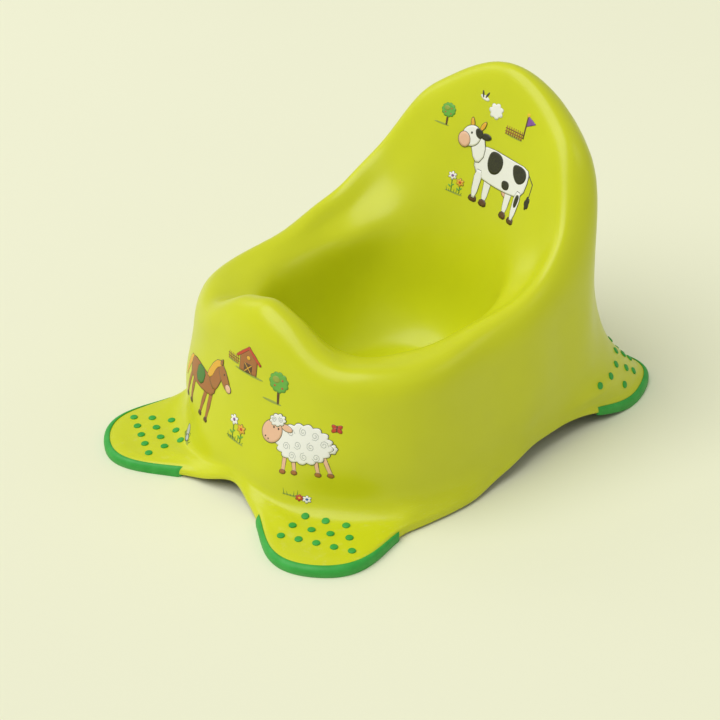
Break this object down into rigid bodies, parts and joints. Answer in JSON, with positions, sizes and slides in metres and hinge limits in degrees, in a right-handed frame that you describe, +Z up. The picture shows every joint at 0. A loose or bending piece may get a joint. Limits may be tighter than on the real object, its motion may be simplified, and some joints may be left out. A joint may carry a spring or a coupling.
{
  "type": "potty training chair",
  "caption": "Toddler's potty chair: a hollow plastic shell with an oval bowl, raised front guard, high backrest, and splayed feet with rubber edges and studs.",
  "frame": {"origin": "on the floor, under the middle of the overall box", "axes": "+Z up, -Y to the front of the potty, where the splash guard is, +X to a seated child's left"},
  "size_m": [0.2808, 0.4077, 0.2623],
  "materials": {
    "body_plastic": "glossy moulded polypropylene, lime green",
    "soft_grip": "satin thermoplastic rubber, mid green"
  },
  "bodies": {
    "root": {"potty_shell": "body_plastic", "front_left_edge_grip": "soft_grip", "front_left_stud_mat": "soft_grip", "front_right_edge_grip": "soft_grip", "front_right_stud_mat": "soft_grip", "rear_left_edge_grip": "soft_grip", "rear_left_stud_mat": "soft_grip", "rear_right_edge_grip": "soft_grip", "rear_right_stud_mat": "soft_grip"}
  },
  "joints": []
}
